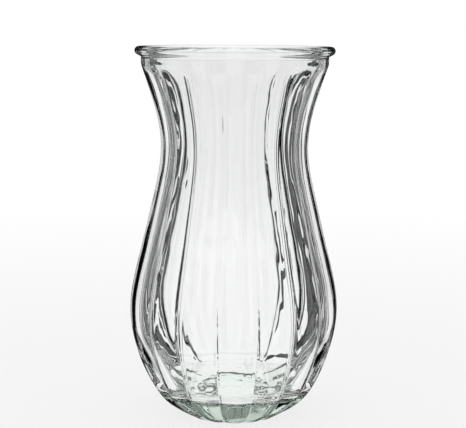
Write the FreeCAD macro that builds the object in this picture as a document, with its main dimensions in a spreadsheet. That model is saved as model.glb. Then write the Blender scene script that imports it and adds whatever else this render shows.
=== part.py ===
import FreeCAD, Part
import math
import os
import Sketcher

# Pressed glass flower vase, one piece of glass: a round foot, a full belly and a narrow waist under a flared
# mouth with a beaded rim. The wall is a ring of convex upright panels that meet in sharp creases, outside and
# inside, and that end in arches under a smooth collar. Millimetres, Z up, origin at the middle of the ground
# under the foot.

SIZES = {
    # outside, measured on the crests of the panels
    "vase_height": 240.0,
    "foot_radius": 31.0,
    "belly_radius": 68.0,
    "belly_height": 70.0,
    "neck_radius": 47.7,
    "neck_drop": 68.0,
    "mouth_radius": 60.0,
    "mouth_drop": 12.0,
    # panels
    "panel_count": 16,
    "crease_share": 0.04,
    # thickness of the glass
    "wall": 4.0,
    "heel_wall": 5.4,
    "collar_wall": 2.4,
    "base_thickness": 12.0,
    # rounding between the wall and the floor inside
    "floor_step": 5.6,
    # collar, with the arches that the panels end in
    "collar_proud": 0.25,
    "arch_height": 6.0,
    "arch_depth": 4.2,
    # rim
    "bead_overhang": 4.3,
    "bead_thickness": 5.5,
    "bead_fillet": 0.8,
    "lip_fillet": 2.2,
    # smooth flare inside the mouth
    "flare_height": 24.0,
    "flare_width": 7.85,
    "flare_curve": 30.0,
    # underside
    "foot_land": 4.5,
    "punt_depth": 2.5,
}

# Rings of the outside between the main ones, as shares of the way from one main ring to the next: up, then
# across.
FOOT_TO_BELLY_SHARES = {"toe": (0.086, 0.270), "heel": (0.286, 0.622), "hip": (0.600, 0.878)}
BELLY_TO_NECK_SHARES = {"shoulder": (0.373, 0.340), "waist": (0.706, 0.739)}
NECK_TO_MOUTH_SHARES = {"throat": (0.430, 0.195), "flare": (0.714, 0.577)}

NECK_HEIGHT = "(Sizes.vase_height - Sizes.neck_drop)"
MOUTH_HEIGHT = "(Sizes.vase_height - Sizes.mouth_drop)"
COLLAR_RADIUS = "(Sizes.mouth_radius + Sizes.collar_proud)"
BEAD_RADIUS = "(Sizes.bead_thickness / 2)"
BEAD_ACROSS = f"(Sizes.mouth_radius + Sizes.bead_overhang - {BEAD_RADIUS})"
BEAD_HEIGHT = f"(Sizes.vase_height - {BEAD_RADIUS})"
LIP_RADIUS = f"({COLLAR_RADIUS} - Sizes.collar_wall)"

# How a sketch numbers the points of an edge, its origin and its two axes.
START, END, CENTRE = 1, 2, 3
ORIGIN, LEVEL_AXIS, UPRIGHT_AXIS = -1, -1, -2
UP = FreeCAD.Vector(0, 0, 1)
FULL_TURN = 360

# How far a circle may be from where it is looked for, and how high a flat edge may be as a share of its
# width.
SEARCH_RANGE = 1.0
FLAT_SHARE = 0.001

doc = FreeCAD.newDocument("flower_vase")


# The sheet of sizes: one named cell for each.
sheet = doc.addObject("Spreadsheet::Sheet", "Sizes")
for row, (name, number) in enumerate(SIZES.items(), start=1):
    sheet.set(f"A{row}", name)
    sheet.set(f"B{row}", str(number))
    sheet.setAlias(f"B{row}", name)
doc.recompute()


def value(expression):
    """The number that an expression on the sheet gives now."""
    return float(sheet.evalExpression(expression))


# Rings of the outside: each has a name, a height and the radius of its crests, as expressions on the sheet.
def rings_between(low, high, shares):
    rings = []
    for ring, (up_share, across_share) in shares.items():
        height = f"({low[1]} + {up_share} * ({high[1]} - {low[1]}))"
        radius = f"({low[2]} + {across_share} * ({high[2]} - {low[2]}))"
        rings.append((ring, height, radius))
    return rings


def outside_rings():
    foot = ("foot", "0", "Sizes.foot_radius")
    belly = ("belly", "Sizes.belly_height", "Sizes.belly_radius")
    neck = ("neck", NECK_HEIGHT, "Sizes.neck_radius")
    mouth = ("mouth", MOUTH_HEIGHT, "Sizes.mouth_radius")
    return [
        foot,
        *rings_between(foot, belly, FOOT_TO_BELLY_SHARES),
        belly,
        *rings_between(belly, neck, BELLY_TO_NECK_SHARES),
        neck,
        *rings_between(neck, mouth, NECK_TO_MOUTH_SHARES),
        mouth,
    ]


# Rings of the cavity: every ring of the outside from the heel up, one wall further in, and the floor below.
def cavity_rings():
    rings = []
    for ring, height, radius in outside_rings():
        if ring == "heel":
            heel_radius = f"({radius} - Sizes.heel_wall)"
            rings.append(("floor", "Sizes.base_thickness", f"({heel_radius} - Sizes.floor_step)"))
            rings.append((ring, height, heel_radius))
        elif ring not in ("foot", "toe"):
            rings.append((ring, height, f"({radius} - Sizes.wall)"))
    return rings


# Sketches.
def new_sketch(body, name, plane):
    sketch = body.newObject("Sketcher::SketchObject", name)
    support = next(item for item in body.Origin.OriginFeatures if item.Role == plane)
    sketch.AttachmentSupport = [(support, "")]
    sketch.MapMode = "FlatFace"
    return sketch


def bind(sketch, constraint, name, expression):
    """Adds a measured constraint that follows an expression on the sheet of sizes."""
    sketch.renameConstraint(sketch.addConstraint(constraint), name)
    sketch.setExpression(f"Constraints.{name}", expression)


def pin(sketch, edge, point, name, across, up):
    """Holds a point of an edge at its distance from the axis and its height."""
    for kind, way, expression, axis in (
        ("DistanceX", "across", across, UPRIGHT_AXIS),
        ("DistanceY", "up", up, LEVEL_AXIS),
    ):
        if expression == "0":
            sketch.addConstraint(Sketcher.Constraint("PointOnObject", edge, point, axis))
        else:
            constraint = Sketcher.Constraint(kind, ORIGIN, START, edge, point, value(expression))
            bind(sketch, constraint, f"{name}_{way}", expression)


def panel_ring(body, name, height, radius):
    """One level section: equal arcs that touch the crest circle from inside and meet on the crease circle."""
    count = int(value("Sizes.panel_count"))
    half_panel = math.pi / count
    crease_radius = f"{radius} * (1 - Sizes.crease_share)"
    crest = value(radius)
    crease = value(crease_radius)
    crease_x = crease * math.cos(half_panel)
    crease_y = crease * math.sin(half_panel)
    arc_centre = (crest**2 - crease**2) / (2 * (crest - crease_x))
    arc_radius = crest - arc_centre
    half_arc = math.atan2(crease_y, crease_x - arc_centre)

    sketch = new_sketch(body, name, "XY_Plane")
    sketch.setExpression("AttachmentOffset.Base.z", height)
    origin = FreeCAD.Vector(0, 0, 0)
    panels = []
    for index in range(count):
        middle = index * 2 * half_panel
        centre = FreeCAD.Vector(arc_centre * math.cos(middle), arc_centre * math.sin(middle), 0)
        circle = Part.Circle(centre, UP, arc_radius)
        panels.append(sketch.addGeometry(Part.ArcOfCircle(circle, middle - half_arc, middle + half_arc)))
    crest_circle = sketch.addGeometry(Part.Circle(origin, UP, crest), True)
    crease_circle = sketch.addGeometry(Part.Circle(origin, UP, crease), True)

    for circle in (crest_circle, crease_circle):
        sketch.addConstraint(Sketcher.Constraint("Coincident", circle, CENTRE, ORIGIN, START))
    sketch.addConstraint(Sketcher.Constraint("PointOnObject", panels[0], CENTRE, LEVEL_AXIS))
    for index, panel in enumerate(panels):
        following = panels[(index + 1) % count]
        sketch.addConstraint(Sketcher.Constraint("Coincident", panel, END, following, START))
        sketch.addConstraint(Sketcher.Constraint("PointOnObject", panel, START, crease_circle))
        sketch.addConstraint(Sketcher.Constraint("Tangent", panel, crest_circle))
        if index > 0:
            sketch.addConstraint(Sketcher.Constraint("Equal", panels[0], panel))
    bind(sketch, Sketcher.Constraint("Radius", crest_circle, crest), "crest_radius", radius)
    bind(sketch, Sketcher.Constraint("Radius", crease_circle, crease), "crease_radius", crease_radius)
    return sketch


def outline(body, name, corners, arcs):
    """A closed outline beside the axis, anticlockwise through named corners. An outward arc follows some."""
    sketch = new_sketch(body, name, "XZ_Plane")
    points = [FreeCAD.Vector(value(across), value(up), 0) for _, across, up in corners]
    edges = []
    for index, (corner, _, _) in enumerate(corners):
        here = points[index]
        there = points[(index + 1) % len(points)]
        if corner in arcs:
            radius = value(arcs[corner])
            half_chord = (there - here) / 2
            outward = FreeCAD.Vector(half_chord.y, -half_chord.x, 0).normalize()
            rise = radius - math.sqrt(radius**2 - half_chord.Length**2)
            edges.append(sketch.addGeometry(Part.Arc(here, here + half_chord + outward * rise, there)))
        else:
            edges.append(sketch.addGeometry(Part.LineSegment(here, there)))
    for index, (corner, across, up) in enumerate(corners):
        following = edges[(index + 1) % len(edges)]
        sketch.addConstraint(Sketcher.Constraint("Coincident", edges[index], END, following, START))
        pin(sketch, edges[index], START, corner, across, up)
        if corner in arcs:
            constraint = Sketcher.Constraint("Radius", edges[index], value(arcs[corner]))
            bind(sketch, constraint, f"{corner}_radius", arcs[corner])
    return sketch


def ring_outline(body, name, across, up, radius):
    """A round outline beside the axis."""
    sketch = new_sketch(body, name, "XZ_Plane")
    centre = FreeCAD.Vector(value(across), value(up), 0)
    circle = sketch.addGeometry(Part.Circle(centre, UP, value(radius)))
    pin(sketch, circle, CENTRE, "centre", across, up)
    bind(sketch, Sketcher.Constraint("Radius", circle, value(radius)), "round", radius)
    return sketch


# Features. Each checks that it worked the right way round: an addition adds glass and a cut takes some away.
def checked(body, feature, adds):
    before = feature.BaseFeature.Shape.Volume if feature.BaseFeature else 0
    doc.recompute()
    grown = body.Shape.Volume > before
    if grown != adds or body.Shape.Volume == before:
        raise RuntimeError(f"{feature.Label} went the wrong way")
    return feature


def loft(body, kind, name, rings):
    """The smooth solid, or the hollow, through a pile of level sections."""
    sections = [panel_ring(body, f"{name}_{ring}", height, radius) for ring, height, radius in rings]
    feature = body.newObject(f"PartDesign::{kind}", name)
    feature.Profile = sections[0]
    feature.Sections = sections[1:]
    feature.Ruled = False
    return checked(body, feature, kind == "AdditiveLoft")


def turn(body, kind, name, sketch):
    """A full turn of an outline about the axis: a Revolution adds, a Groove cuts."""
    feature = body.newObject(f"PartDesign::{kind}", name)
    feature.Profile = sketch
    feature.ReferenceAxis = (sketch, ["V_Axis"])
    feature.Angle = FULL_TURN
    return checked(body, feature, kind == "Revolution")


def level_circle(edge, across, low, high):
    """True for a full circle about the axis, near a radius and between two heights."""
    box = edge.BoundBox
    flat = box.ZLength < box.XLength * FLAT_SHARE
    level = low < box.ZMin and box.ZMax < high
    sides = (-box.XMin, box.XMax, -box.YMin, box.YMax)
    return flat and level and all(abs(side - across) < SEARCH_RANGE for side in sides)


def round_off(body, name, radius, across, low, high):
    """Rounds the circular edge of the body near a radius and between two heights."""
    before = body.Tip
    names = [
        f"Edge{index}"
        for index, edge in enumerate(before.Shape.Edges, start=1)
        if level_circle(edge, value(across), value(low), value(high))
    ]
    feature = body.newObject("PartDesign::Fillet", name)
    feature.Base = (before, names)
    feature.setExpression("Radius", radius)
    doc.recompute()
    return feature


def add_collar(body):
    """The smooth band over the tops of the panels. Its underside is a cone that sinks into the creases first,
    so each panel ends in an arch. Its top reaches the middle of the bead, which makes the flat of the rim."""
    arch_bottom = f"{MOUTH_HEIGHT} - Sizes.arch_height"
    corners = [
        ("arch", f"{COLLAR_RADIUS} - Sizes.arch_depth", arch_bottom),
        ("edge", COLLAR_RADIUS, MOUTH_HEIGHT),
        ("under_bead", COLLAR_RADIUS, BEAD_HEIGHT),
        ("bead_middle", BEAD_ACROSS, BEAD_HEIGHT),
        ("rim", BEAD_ACROSS, "Sizes.vase_height"),
        ("top", "0", "Sizes.vase_height"),
        ("bottom", "0", arch_bottom),
    ]
    turn(body, "Revolution", "collar", outline(body, "collar_outline", corners, {}))


def open_mouth(body):
    """The cavity opens in a smooth flare up to the lip."""
    flare_bottom = "Sizes.vase_height - Sizes.flare_height"
    corners = [
        ("bottom", "0", flare_bottom),
        ("throat", f"{LIP_RADIUS} - Sizes.flare_width", flare_bottom),
        ("lip", LIP_RADIUS, "Sizes.vase_height"),
        ("top", "0", "Sizes.vase_height"),
    ]
    turn(body, "Groove", "mouth", outline(body, "mouth_outline", corners, {"throat": "Sizes.flare_curve"}))


def hollow_underside(body):
    """A shallow dome inside the flat ring that the vase stands on."""
    land_radius = "(Sizes.foot_radius - Sizes.foot_land)"
    dome_radius = f"({land_radius}^2 + Sizes.punt_depth^2) / (2 * Sizes.punt_depth)"
    corners = [("middle", "0", "0"), ("land", land_radius, "0"), ("crown", "0", "Sizes.punt_depth")]
    turn(body, "Groove", "punt", outline(body, "punt_outline", corners, {"land": dome_radius}))


def make_vase():
    body = doc.addObject("PartDesign::Body", "VaseBody")
    body.Label = "vase_body"
    loft(body, "AdditiveLoft", "outside", outside_rings())
    add_collar(body)
    bead_outline = ring_outline(body, "bead_outline", BEAD_ACROSS, BEAD_HEIGHT, BEAD_RADIUS)
    turn(body, "Revolution", "bead", bead_outline)
    loft(body, "SubtractiveLoft", "cavity", cavity_rings())
    open_mouth(body)
    hollow_underside(body)
    over_rim = "Sizes.vase_height + Sizes.wall"
    over_arches = f"{MOUTH_HEIGHT} + Sizes.bead_fillet"
    round_off(body, "lip_round", "Sizes.lip_fillet", LIP_RADIUS, BEAD_HEIGHT, over_rim)
    round_off(body, "bead_round", "Sizes.bead_fillet", COLLAR_RADIUS, over_arches, BEAD_HEIGHT)
    return body


def check_and_write(body):
    doc.recompute()
    for item in doc.Objects:
        if "Invalid" in item.State or "Error" in item.State:
            raise RuntimeError(f"{item.Label} did not recompute")
    shape = body.Shape
    if shape.isNull() or not shape.isValid() or len(shape.Solids) != 1:
        raise RuntimeError(f"{body.Label} is not one valid solid")
    shape.exportStep(f"parts/{body.Label}.step")


os.makedirs("parts", exist_ok=True)
check_and_write(make_vase())
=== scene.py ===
# %% [markdown]
# A flower vase of clear pressed glass, modelled in Blender around the CAD part. The vase is one piece of
# glass: a small round foot, a full belly, a narrow waist and a flared mouth with a beaded rim. Its wall is
# a ring of upright panels, each one slightly rounded, that meet in sharp creases.

# %% Load the CAD part
import math

import bmesh
import bpy
import numpy as np
from mathutils import Matrix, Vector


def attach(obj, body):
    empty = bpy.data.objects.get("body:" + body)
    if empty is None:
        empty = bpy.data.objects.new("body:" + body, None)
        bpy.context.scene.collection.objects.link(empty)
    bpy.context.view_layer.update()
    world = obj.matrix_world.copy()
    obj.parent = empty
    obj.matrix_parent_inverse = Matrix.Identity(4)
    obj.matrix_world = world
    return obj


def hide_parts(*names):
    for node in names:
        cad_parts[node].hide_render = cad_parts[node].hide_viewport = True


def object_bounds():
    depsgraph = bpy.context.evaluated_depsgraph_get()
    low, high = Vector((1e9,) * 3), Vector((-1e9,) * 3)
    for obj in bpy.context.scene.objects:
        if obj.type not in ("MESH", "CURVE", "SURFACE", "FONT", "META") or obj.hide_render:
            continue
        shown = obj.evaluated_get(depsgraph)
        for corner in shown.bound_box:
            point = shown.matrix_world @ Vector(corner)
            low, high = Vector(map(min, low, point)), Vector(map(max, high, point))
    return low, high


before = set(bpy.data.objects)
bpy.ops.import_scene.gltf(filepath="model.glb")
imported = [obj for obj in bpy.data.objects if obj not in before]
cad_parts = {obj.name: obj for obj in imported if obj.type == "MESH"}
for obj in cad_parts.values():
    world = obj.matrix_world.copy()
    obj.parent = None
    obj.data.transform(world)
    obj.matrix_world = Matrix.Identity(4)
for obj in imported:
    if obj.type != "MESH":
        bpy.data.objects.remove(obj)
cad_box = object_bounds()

for corner_name, corner in zip(("lowest", "highest"), cad_box):
    print("CAD box", corner_name, [round(side, 4) for side in corner])

# %% [markdown]
# Blender measures in metres, and glass is measured in millimetres, so the sizes are written as a number
# times MM. The rings of the outside have the sizes of the CAD part, but for a belly that is a hair
# narrower, so that it stays inside the box. There are four main rings: foot, belly, neck and mouth. The
# rings between them are placed as shares of the way from one main ring to the next: up, then across.

# %% Sizes of the outside
MM = 0.001

FOOT_RADIUS = 31 * MM
BELLY_RADIUS = 67.98 * MM
BELLY_HEIGHT = 70 * MM
NECK_RADIUS = 47.7 * MM
NECK_HEIGHT = 172 * MM
MOUTH_RADIUS = 60 * MM
MOUTH_HEIGHT = 228 * MM
RIM_HEIGHT = cad_box[1][2]

FOOT_TO_BELLY_SHARES = [(0.086, 0.270), (0.286, 0.622), (0.600, 0.878)]
BELLY_TO_NECK_SHARES = [(0.373, 0.340), (0.706, 0.739)]
NECK_TO_MOUTH_SHARES = [(0.430, 0.195), (0.714, 0.577)]


def rings_between(low, high, shares):
    """Rings, each a height and a radius, on the way from one main ring to the next."""
    rise = high[0] - low[0]
    spread = high[1] - low[1]
    return [(low[0] + up * rise, low[1] + across * spread) for up, across in shares]


foot = (0, FOOT_RADIUS)
belly = (BELLY_HEIGHT, BELLY_RADIUS)
neck = (NECK_HEIGHT, NECK_RADIUS)
mouth = (MOUTH_HEIGHT, MOUTH_RADIUS)
outside_rings = [
    foot,
    *rings_between(foot, belly, FOOT_TO_BELLY_SHARES),
    belly,
    *rings_between(belly, neck, BELLY_TO_NECK_SHARES),
    neck,
    *rings_between(neck, mouth, NECK_TO_MOUTH_SHARES),
    mouth,
]
print("rings of the outside in mm", [(round(z / MM), round(r / MM, 1)) for z, r in outside_rings])

# %% [markdown]
# A mould maker joins such rings with a springy batten, which bends as evenly as it can. A natural cubic
# spline does the same in numbers: it passes through every ring and spreads its bending between them.
# Straight pieces would show at once in glass, because every facet bends the light its own way.


# %% The curve of the outside
class Batten:
    """A smooth curve that gives a radius for every height."""

    def __init__(self, rings):
        self.heights, self.radii = np.array(rings).T
        count = len(rings)
        self.gaps = np.diff(self.heights)
        slopes = np.diff(self.radii) / self.gaps
        stiffness = np.eye(count)
        load = np.zeros(count)
        for ring in range(1, count - 1):
            below, above = self.gaps[ring - 1], self.gaps[ring]
            stiffness[ring, ring - 1 : ring + 2] = below, 2 * (below + above), above
            load[ring] = 6 * (slopes[ring] - slopes[ring - 1])
        self.bends = np.linalg.solve(stiffness, load)

    def radius(self, height):
        here = int(np.clip(np.searchsorted(self.heights, height) - 1, 0, len(self.gaps) - 1))
        gap = self.gaps[here]
        above = (height - self.heights[here]) / gap
        below = 1 - above
        straight = below * self.radii[here] + above * self.radii[here + 1]
        bend_below = (below**3 - below) * self.bends[here]
        bend_above = (above**3 - above) * self.bends[here + 1]
        return straight + (bend_below + bend_above) * gap**2 / 6

    def slope(self, height):
        return (self.radius(height + MM / 2) - self.radius(height - MM / 2)) / MM


outside = Batten(outside_rings)
print("narrowest at the neck:", round(outside.radius(NECK_HEIGHT) / MM, 2), "mm")

# %% [markdown]
# The panels. Seen from above, the wall is a ring of shallow lobes. Each lobe is highest in its middle, the
# crest, and falls to the crease between it and its neighbour. Pressed glass is never quite sharp, so the
# bottom of the crease is rounded a little. The inside follows the outside, but shallower and rounder,
# because only the outside touched the cut mould. The outer creases are a little deeper than those of the
# CAD part. Going from the crest to the crease, share runs from 0 to 1.

# %% Panels
PANEL_COUNT = 16
HALF_PANEL = math.pi / PANEL_COUNT
COLUMNS = 16
CREASE_SHARE = 0.045
OUTER_ROUND_SHARE = 0.05
INNER_CREASE_SHARE = 0.039
INNER_ROUND_SHARE = 0.26
GATHER = 1.4


def lobe(share, round_share):
    """How deep the wall lies below the crest, from 0 at the crest to about 1 in the crease."""
    start = 1 - round_share
    if share <= start:
        return share**2
    past = share - start
    return start**2 + 2 * start * (past - past**2 / (2 * round_share))


def column_share(column):
    """The columns of the mesh gather towards the crease, where the wall turns most."""
    return 1 - (1 - column / COLUMNS) ** GATHER


def eased(height, low, high):
    """Runs softly from 0 below one height to 1 above another."""
    way = min(max((height - low) / (high - low), 0), 1)
    return way * way * (3 - 2 * way)


# %% [markdown]
# The glass in section. One half of the vase is cut open from its crest or its crease, and the outline of
# the cut is drawn once round: out along the underside, up the outside, over the rim, down the inside and in
# along the floor. Each stretch is a short function that gives the radius for a height, or the two together
# where the line turns. The wall is thinner and the floor higher than in the CAD part, because glass of this
# section bends the light more like the vase in the photograph.

# %% Outside, collar and bead
COLLAR_RADIUS = 60.25 * MM
ARCH_LOW = 219 * MM
ARCH_HIGH = 227.5 * MM
BEAD_RADIUS = 2.75 * MM
BEAD_ACROSS = 61.55 * MM
BEAD_HEIGHT = RIM_HEIGHT - BEAD_RADIUS
OUTSIDE_ROWS = 76
FOOT_GATHER = 1.2
COLLAR_ROWS = 4
BEAD_ROWS = 14
BEAD_START = math.radians(-62)


def outside_radius(height, share):
    """The panel, whose creases run out under the collar, so that each panel ends in an arch."""
    crease = CREASE_SHARE * lobe(share, OUTER_ROUND_SHARE) * (1 - eased(height, ARCH_LOW, ARCH_HIGH))
    return outside.radius(height) * (1 - crease)


def outside_points(share):
    points = []
    for row in range(OUTSIDE_ROWS + 1):
        height = MOUTH_HEIGHT * (row / OUTSIDE_ROWS) ** FOOT_GATHER
        points.append((outside_radius(height, share), height))
    return points


def rim_points():
    bead_bottom = BEAD_HEIGHT + BEAD_RADIUS * math.sin(BEAD_START)
    points = []
    for row in range(1, COLLAR_ROWS + 1):
        points.append((COLLAR_RADIUS, MOUTH_HEIGHT + (bead_bottom - MOUTH_HEIGHT) * row / (COLLAR_ROWS + 1)))
    for row in range(BEAD_ROWS + 1):
        turn = BEAD_START + (math.pi / 2 - BEAD_START) * row / BEAD_ROWS
        radius = BEAD_ACROSS + BEAD_RADIUS * math.cos(turn)
        points.append((radius, BEAD_HEIGHT + BEAD_RADIUS * math.sin(turn)))
    return points


# %% Lip and inside
WALL = 2.6 * MM
HEEL_WALL = 5.4 * MM
COLLAR_WALL = 2.4 * MM
HEEL_EVEN_HEIGHT = 60 * MM
COLLAR_THIN_LOW = 205 * MM
LIP_RADIUS = MOUTH_RADIUS - COLLAR_WALL
LIP_ROUND = 2.2 * MM
LIP_ROWS = 6
FLOOR_HEIGHT = 17 * MM
FLOOR_CORNER = 6.5 * MM
INSIDE_ROWS = 62
CORNER_ROWS = 12
FLOOR_ROWS = 4


def inside_radius(height, share):
    """One wall inside the outside panel. The wall is thicker at the heel and thinner in the collar."""
    below_collar = min(height, MOUTH_HEIGHT)
    thickness = WALL
    thickness += (HEEL_WALL - WALL) * (1 - eased(height, FLOOR_HEIGHT, HEEL_EVEN_HEIGHT))
    thickness += (COLLAR_WALL - WALL) * eased(height, COLLAR_THIN_LOW, MOUTH_HEIGHT)
    slope = outside.slope(below_collar) * (1 - eased(height, COLLAR_THIN_LOW, MOUTH_HEIGHT))
    crease = INNER_CREASE_SHARE * lobe(share, INNER_ROUND_SHARE) * (1 - eased(height, ARCH_LOW, ARCH_HIGH))
    return (outside.radius(below_collar) - thickness * math.hypot(1, slope)) * (1 - crease)


def lip_points():
    points = []
    for row in range(LIP_ROWS + 1):
        turn = math.pi / 2 * row / LIP_ROWS
        radius = LIP_RADIUS + LIP_ROUND * (1 - math.sin(turn))
        points.append((radius, RIM_HEIGHT - LIP_ROUND * (1 - math.cos(turn))))
    return points


def inside_points(share):
    top = RIM_HEIGHT - LIP_ROUND
    bottom = FLOOR_HEIGHT + FLOOR_CORNER
    heights = [top + (bottom - top) * row / INSIDE_ROWS for row in range(1, INSIDE_ROWS + 1)]
    points = [(inside_radius(height, share), height) for height in heights]
    round_wall = inside_radius(bottom, 0)
    for row in range(1, CORNER_ROWS + 1):
        turn = math.pi / 2 * row / CORNER_ROWS
        radius = round_wall - FLOOR_CORNER * (1 - math.cos(turn))
        crease = INNER_CREASE_SHARE * lobe(share, INNER_ROUND_SHARE) * (1 - row / CORNER_ROWS)
        points.append((radius * (1 - crease), bottom - FLOOR_CORNER * math.sin(turn)))
    floor_radius = round_wall - FLOOR_CORNER
    for row in range(1, FLOOR_ROWS + 1):
        points.append((floor_radius * (1 - row / FLOOR_ROWS), FLOOR_HEIGHT))
    return points


# %% Underside
FOOT_LAND = 4.5 * MM
PUNT_DEPTH = 2.5 * MM
PUNT_ROWS = 8


def underside_points():
    """A shallow dome. The flat ring round it runs from its edge to the first point of the outside."""
    land_radius = FOOT_RADIUS - FOOT_LAND
    points = []
    for row in range(PUNT_ROWS + 1):
        out = row / PUNT_ROWS
        points.append((land_radius * out, PUNT_DEPTH * (1 - out**2)))
    return points


def section(share):
    """The outline of the cut glass, from the middle of the underside round to the middle of the floor."""
    return [
        *underside_points(),
        *outside_points(share),
        *rim_points(),
        *lip_points(),
        *inside_points(share),
    ]


print("points in one outline:", len(section(0)))

# %% [markdown]
# What repeats is modelled once. Half a panel is a thin wedge of the vase, and its outlines stand side by
# side like the pages of an open book: the first on the crest, the last in the crease. Each outline is drawn
# by extruding one point along the section, and neighbours are then bridged with faces. A lathe tool can't
# do this, because the outline changes from page to page.


# %% Helpers for edit mode
def start_point():
    """A new mesh object that is one selected point at the origin, in edit mode."""
    bpy.ops.object.select_all(action="DESELECT")
    bpy.ops.mesh.primitive_plane_add(size=MM, location=(0, 0, 0))
    bpy.ops.object.mode_set(mode="EDIT")
    bpy.ops.mesh.select_mode(type="VERT")
    bpy.ops.mesh.merge(type="CENTER")
    return bpy.context.object


def move_selected(way):
    bpy.ops.transform.translate(value=way)


def extrude_selected(way):
    bpy.ops.mesh.extrude_region_move(TRANSFORM_OT_translate={"value": way})


def select_points(piece, first, last):
    """Selects the points from one number up to another, and the edges between them."""
    mesh = bmesh.from_edit_mesh(piece.data)
    mesh.verts.ensure_lookup_table()
    for point in mesh.verts:
        point.select = first <= point.index < last
    mesh.select_flush_mode()
    for edge in mesh.edges:
        edge.select = all(point.select for point in edge.verts)
    bmesh.update_edit_mesh(piece.data)


# %% Draw the outlines of half a panel
def page(share):
    """One outline, turned from the front of the vase to its place on the panel. The front faces -Y."""
    across = math.sin(share * HALF_PANEL)
    forward = -math.cos(share * HALF_PANEL)
    return [(radius * across, radius * forward, height) for radius, height in section(share)]


def step(here, there):
    return tuple(b - a for a, b in zip(here, there))


half_panel = start_point()
pages = [page(column_share(column)) for column in range(COLUMNS + 1)]
pen = (0, 0, 0)
for number, points in enumerate(pages):
    if number > 0:
        bpy.ops.mesh.duplicate_move()
    for place, point in enumerate(points):
        if place == 0:
            move_selected(step(pen, point))
        else:
            extrude_selected(step(pen, point))
        pen = point
print("pages drawn:", len(pages), "with", len(half_panel.data.vertices), "points")

# %% Bridge neighbouring outlines
page_length = len(pages[0])
for number in range(COLUMNS):
    select_points(half_panel, number * page_length, (number + 2) * page_length)
    bpy.ops.mesh.bridge_edge_loops()
print("faces in half a panel:", len(bmesh.from_edit_mesh(half_panel.data).faces))

# %% [markdown]
# The other half of the panel is a mirrored copy, and the whole panel is then turned round the axis. Copies
# meet edge to edge, so merging the doubles closes the glass into one skin, which is also how the single
# points on the axis come about. The skin must face outwards everywhere, or light would bend the wrong way,
# so the normals are worked out anew.

# %% Copy the panel round the vase
AXIS = (0, 0, 1)
MIDDLE = (0, 0, 0)
WELD = 0.01 * MM

bpy.ops.mesh.select_all(action="SELECT")
bpy.ops.mesh.duplicate_move()
bpy.ops.transform.resize(value=(-1, 1, 1), center_override=MIDDLE)
bpy.ops.mesh.select_all(action="SELECT")
bpy.ops.mesh.spin(
    steps=PANEL_COUNT - 1,
    dupli=True,
    angle=2 * math.pi * (PANEL_COUNT - 1) / PANEL_COUNT,
    center=MIDDLE,
    axis=AXIS,
)
bpy.ops.mesh.select_all(action="SELECT")
bpy.ops.mesh.remove_doubles(threshold=WELD)
bpy.ops.mesh.normals_make_consistent(inside=False)
bpy.ops.object.mode_set(mode="OBJECT")
bpy.ops.object.shade_smooth()

vase = half_panel
vase.name = "vase_glass"
vase.data.name = "vase_glass"
triangles = sum(len(face.vertices) - 2 for face in vase.data.polygons)
print("vase:", len(vase.data.vertices), "points,", triangles, "triangles")

# %% Check that the skin is closed
MILLILITRE = (10 * MM) ** 3

skin = bmesh.new()
skin.from_mesh(vase.data)
print("open edges:", sum(not edge.is_manifold for edge in skin.edges))
print("glass:", round(skin.calc_volume() / MILLILITRE), "ml")
skin.free()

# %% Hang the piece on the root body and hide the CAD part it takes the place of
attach(vase, "root")
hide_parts("vase_body")

# %% [markdown]
# Materials are graphs of nodes. Written out one by one they are hard to read, so two small classes let a
# sum on a socket be written as a sum in Python. Each operator adds its own Math node.


# %% Helpers for nodes
class Flow:
    """A number that flows out of a node. Sums with it add Math nodes."""

    def __init__(self, recipe, socket):
        self.recipe = recipe
        self.socket = socket

    def maths(self, operation, first, second=0.0):
        node = self.recipe.node("ShaderNodeMath", {"operation": operation}, {0: first, 1: second})
        return self.recipe.flow(node, "Value")

    def __add__(self, other):
        return self.maths("ADD", self, other)

    def __radd__(self, other):
        return self.maths("ADD", other, self)

    def __sub__(self, other):
        return self.maths("SUBTRACT", self, other)

    def __rsub__(self, other):
        return self.maths("SUBTRACT", other, self)

    def __mul__(self, other):
        return self.maths("MULTIPLY", self, other)

    def __rmul__(self, other):
        return self.maths("MULTIPLY", other, self)

    def __truediv__(self, other):
        return self.maths("DIVIDE", self, other)

    def at_least(self, other):
        return self.maths("MAXIMUM", self, other)

    def at_most(self, other):
        return self.maths("MINIMUM", self, other)

    def fade(self, start, end):
        """Runs from 0 where this number is start to 1 where it is end, and stays there."""
        return ((self - start) / (end - start)).at_least(0.0).at_most(1.0)


class Recipe:
    """The node graph of one material or of the world."""

    def __init__(self, owner):
        owner.use_nodes = True
        self.tree = owner.node_tree
        self.tree.nodes.clear()

    def node(self, kind, settings=None, inputs=None):
        """One node of any kind: its settings first, then a value or a link for each socket that is named."""
        node = self.tree.nodes.new(kind)
        for name, setting in (settings or {}).items():
            setattr(node, name, setting)
        for name, given in (inputs or {}).items():
            if isinstance(given, Flow):
                given = given.socket
            if isinstance(given, bpy.types.NodeSocket):
                self.tree.links.new(given, node.inputs[name])
            else:
                node.inputs[name].default_value = given
        return node

    def flow(self, node, output):
        return Flow(self, node.outputs[output])


WHITE = (1, 1, 1, 1)


def new_material(name):
    material = bpy.data.materials.new(name)
    return material, Recipe(material)


# %% [markdown]
# Clear soda-lime glass. It bends light with an index of about 1.52 and has no colour of its own, but the
# iron in the sand turns it faintly green where light travels a long way through it, as at the foot and the
# rim. That belongs to the volume, not to the surface. The surface of pressed glass is never perfect: it
# cools in the mould with long shallow waves, and the underside is stippled and a little rough, so that
# scratches on it don't show. Neither is deep enough to be modelled, so both are bumps.

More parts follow.
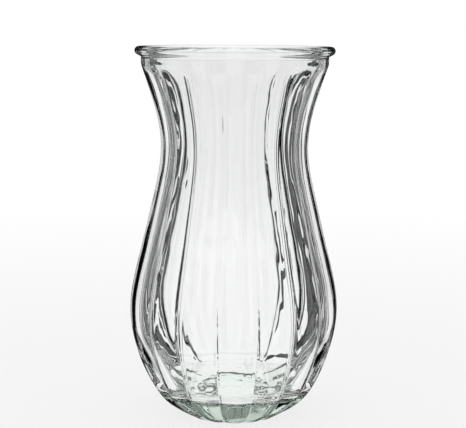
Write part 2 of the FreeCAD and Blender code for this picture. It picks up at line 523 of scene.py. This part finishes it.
# %% Glass
GLASS_INDEX = 1.52
GREEN_OF_IRON = (0.75, 0.95, 0.82, 1)
GREEN_PER_METRE = 9.0
WAVES_ACROSS = 120
WAVES_UPRIGHT = 30
WAVE_HEIGHT = 0.09 * MM
STIPPLES = 160
STIPPLE_HEIGHT = 0.6 * MM
UNDERSIDE_LOW = 2.7 * MM
UNDERSIDE_HIGH = 3 * MM
FOOT_ROUGHNESS = 0.08

glass, recipe = new_material("pressed_glass")
place = recipe.node("ShaderNodeTexCoord").outputs["Object"]
height = recipe.flow(recipe.node("ShaderNodeSeparateXYZ", {}, {"Vector": place}), "Z")
underside = 1.0 - height.fade(UNDERSIDE_LOW, UNDERSIDE_HIGH)

long_waves = recipe.node(
    "ShaderNodeMapping", {}, {"Vector": place, "Scale": (WAVES_ACROSS, WAVES_ACROSS, WAVES_UPRIGHT)}
)
waves = recipe.node(
    "ShaderNodeTexNoise", {}, {"Vector": long_waves.outputs["Vector"], "Scale": 1.0, "Detail": 1.0}
)
wavy = recipe.node(
    "ShaderNodeBump", {}, {"Height": waves.outputs["Fac"], "Distance": WAVE_HEIGHT, "Strength": 1.0}
)
dots = recipe.node("ShaderNodeTexNoise", {}, {"Vector": place, "Scale": STIPPLES, "Detail": 0.0})
stipple = recipe.flow(dots, "Fac") * underside
stippled = recipe.node(
    "ShaderNodeBump",
    {},
    {"Height": stipple, "Distance": STIPPLE_HEIGHT, "Strength": 1.0, "Normal": wavy.outputs["Normal"]},
)
surface = recipe.node(
    "ShaderNodeBsdfPrincipled",
    {},
    {
        "Base Color": WHITE,
        "Roughness": underside * FOOT_ROUGHNESS,
        "IOR": GLASS_INDEX,
        "Transmission Weight": 1.0,
        "Normal": stippled.outputs["Normal"],
    },
)
body_of_glass = recipe.node(
    "ShaderNodeVolumeAbsorption", {}, {"Color": GREEN_OF_IRON, "Density": GREEN_PER_METRE}
)
recipe.node(
    "ShaderNodeOutputMaterial",
    {},
    {"Surface": surface.outputs["BSDF"], "Volume": body_of_glass.outputs["Volume"]},
)
vase.data.materials.append(glass)
print("glass has", len(glass.node_tree.nodes), "nodes")

# %% [markdown]
# The studio. Clear glass is only seen by what it bends into view, so glassware is photographed against a
# bright field with dark cards just outside the view: the middle of the vase shows the white field, and the
# steep sides and creases show the cards as crisp dark lines. Here the cards are curved strips in a ring
# with eight bright openings, so that the vase has a clear middle from the front, the back, the sides and
# the diagonals. The openings on the diagonals are narrower, which keeps the outermost glass dark from the
# front. Narrow slits in the cards draw the fine bright lines that break up the dark ones. Only rays that
# have met glass see the cards. Slits are places and half widths in degrees from an opening.

# %% Dark cards round the vase
CARD_DISTANCE = 800 * MM
CARD_LOW = -500 * MM
CARD_HIGH = 800 * MM
CARD_COUNT = 8
OPENING_HALF_ANGLE = math.radians(12)
DIAGONAL_HALF_ANGLE = math.radians(9)
SLIT_PLACES = [(15.5, 0.5), (19, 0.4), (22.5, 0.5)]
SLITS = [(math.radians(middle), math.radians(half)) for middle, half in SLIT_PLACES]
RING_TURN = math.radians(1.2)
CARD_SHADE = 0.01
CARD_STEPS = 1440

bpy.ops.object.select_all(action="DESELECT")
bpy.ops.mesh.primitive_cylinder_add(
    vertices=CARD_STEPS,
    radius=CARD_DISTANCE,
    depth=CARD_HIGH - CARD_LOW,
    location=(0, 0, (CARD_HIGH + CARD_LOW) / 2),
    end_fill_type="NOTHING",
)
cards = bpy.context.object
cards.name = "dark_cards"
bpy.ops.object.mode_set(mode="EDIT")
bpy.ops.mesh.select_mode(type="FACE")
ring = bmesh.from_edit_mesh(cards.data)
spacing = 2 * math.pi / CARD_COUNT
for strip in ring.faces:
    middle = strip.calc_center_median()
    angle = math.atan2(middle.x, middle.y) - RING_TURN
    opening = round(angle / spacing)
    from_opening = abs(angle / spacing - opening) * spacing
    half_angle = OPENING_HALF_ANGLE if opening % 2 == 0 else DIAGONAL_HALF_ANGLE
    in_slit = any(abs(from_opening - slit_middle) < slit_half for slit_middle, slit_half in SLITS)
    strip.select = from_opening < half_angle or in_slit
bmesh.update_edit_mesh(cards.data)
bpy.ops.mesh.delete(type="FACE")
bpy.ops.object.mode_set(mode="OBJECT")
bpy.ops.object.transform_apply(location=True, rotation=True, scale=True)

dark, recipe = new_material("dark_card")
cloth = recipe.node("ShaderNodeEmission", {}, {"Color": WHITE, "Strength": CARD_SHADE})
recipe.node("ShaderNodeOutputMaterial", {}, {"Surface": cloth.outputs["Emission"]})
cards.data.materials.append(dark)
cards.visible_camera = False
cards.visible_diffuse = False
cards.visible_shadow = False
cards.visible_volume_scatter = False
print("cards:", len(cards.data.polygons), "faces")

# %% [markdown]
# The vase stands on a white table. The camera sees the table almost white, with the soft shadow of the vase
# on it, and it fades to pure white further off, so that no edge shows behind the vase. Light that has
# passed through the glass or been mirrored by it sees straight through the table to the bright field, as it
# would on a light table.

# %% Table
TABLE_SIDE = 12
TABLE_DROP = 0.2 * MM
TABLE_WHITE = (0.9, 0.9, 0.9, 1)
TABLE_GLOW_SHARE = 0.8
FADE_NEAR = 250 * MM
FADE_FAR = 950 * MM

bpy.ops.object.select_all(action="DESELECT")
bpy.ops.mesh.primitive_plane_add(size=TABLE_SIDE, location=(0, 0, -TABLE_DROP))
table = bpy.context.object
table.name = "white_table"
bpy.ops.object.transform_apply(location=True, rotation=True, scale=True)

white, recipe = new_material("white_table")
place = recipe.node("ShaderNodeTexCoord").outputs["Object"]
away = recipe.flow(recipe.node("ShaderNodeVectorMath", {"operation": "LENGTH"}, {0: place}), "Value")
ray = recipe.node("ShaderNodeLightPath")
through_glass = recipe.flow(ray, "Is Transmission Ray").at_least(recipe.flow(ray, "Is Glossy Ray"))
glow = recipe.flow(ray, "Is Camera Ray") * (
    TABLE_GLOW_SHARE + (1 - TABLE_GLOW_SHARE) * away.fade(FADE_NEAR, FADE_FAR)
)
paint = recipe.node("ShaderNodeBsdfDiffuse", {}, {"Color": TABLE_WHITE})
field = recipe.node("ShaderNodeEmission", {}, {"Color": WHITE, "Strength": 1.0})
nothing = recipe.node("ShaderNodeBsdfTransparent")
seen = recipe.node(
    "ShaderNodeMixShader", {}, {0: glow, 1: paint.outputs["BSDF"], 2: field.outputs["Emission"]}
)
table_shader = recipe.node(
    "ShaderNodeMixShader", {}, {0: through_glass, 1: seen.outputs["Shader"], 2: nothing.outputs["BSDF"]}
)
recipe.node("ShaderNodeOutputMaterial", {}, {"Surface": table_shader.outputs["Shader"]})
table.data.materials.append(white)

# %% [markdown]
# The bright field is the world itself. The camera sees it as plain white. Through the glass it is white
# below and a touch greyer from a little below the horizon upwards, and it darkens overhead, where a studio
# has no paper. Light that the glass only mirrors comes from the dark room round the camera. What lights the
# table is the same soft white from all sides.

# %% World
FIELD_LOW = math.radians(-10)
FIELD_HIGH = math.radians(-6)
FIELD_UPPER_SHADE = 0.9
CEILING_LOW = math.radians(35)
CEILING_HIGH = math.radians(50)
CEILING_SHADE = 0.35
MIRRORED_SHADE = 0.05
TABLE_LIGHT = 0.8

world = bpy.data.worlds.new("bright_field")
bpy.context.scene.world = world
recipe = Recipe(world)
way = recipe.node("ShaderNodeTexCoord").outputs["Generated"]
rise = recipe.flow(recipe.node("ShaderNodeSeparateXYZ", {}, {"Vector": way}), "Z")
elevation = rise.maths("ARCSINE", rise)
upper = elevation.fade(FIELD_LOW, FIELD_HIGH)
ceiling = elevation.fade(CEILING_LOW, CEILING_HIGH)
field_light = (1 - (1 - FIELD_UPPER_SHADE) * upper) * (1 - (1 - CEILING_SHADE) * ceiling)
ray = recipe.node("ShaderNodeLightPath")
to_camera = recipe.flow(ray, "Is Camera Ray")
to_table = recipe.flow(ray, "Is Diffuse Ray")
through_glass = recipe.flow(ray, "Is Transmission Ray")
mirrored = (1 - to_camera) * (1 - to_table) * (1 - through_glass)
strength = to_camera + to_table * TABLE_LIGHT + through_glass * field_light + mirrored * MIRRORED_SHADE
background = recipe.node("ShaderNodeBackground", {}, {"Color": WHITE, "Strength": strength})
recipe.node("ShaderNodeOutputWorld", {}, {"Surface": background.outputs["Background"]})

# %% [markdown]
# The camera stands where the photograph was taken from: a little above the mouth of the vase, so that the
# rim opens into a narrow ellipse, and turned a little round the vase, as the front panel shows.

# %% Camera
PICTURE_WIDTH = 466
SENSOR_WIDTH = 36
FOCAL_PIXELS = 1304.37
CAMERA_DISTANCE = 842 * MM
CAMERA_HEIGHT = 253 * MM
CAMERA_TURN = math.radians(1.7)
CAMERA_PITCH = math.radians(8.213)
CAMERA_ROLL = math.radians(0.3)
SHIFT_PIXELS = 1.2

lens = bpy.data.cameras.new("photo_camera")
lens.sensor_width = SENSOR_WIDTH
lens.lens = FOCAL_PIXELS / PICTURE_WIDTH * SENSOR_WIDTH
lens.shift_x = -SHIFT_PIXELS / PICTURE_WIDTH
camera = bpy.data.objects.new("photo_camera", lens)
bpy.context.collection.objects.link(camera)
camera.matrix_world = (
    Matrix.Rotation(-CAMERA_TURN, 4, "Z")
    @ Matrix.Translation((0, -CAMERA_DISTANCE, CAMERA_HEIGHT))
    @ Matrix.Rotation(math.pi / 2 - CAMERA_PITCH, 4, "X")
    @ Matrix.Rotation(CAMERA_ROLL, 4, "Z")
)
bpy.context.scene.camera = camera
bpy.context.scene.view_settings.view_transform = "Standard"
print("lens:", round(lens.lens, 1), "mm")
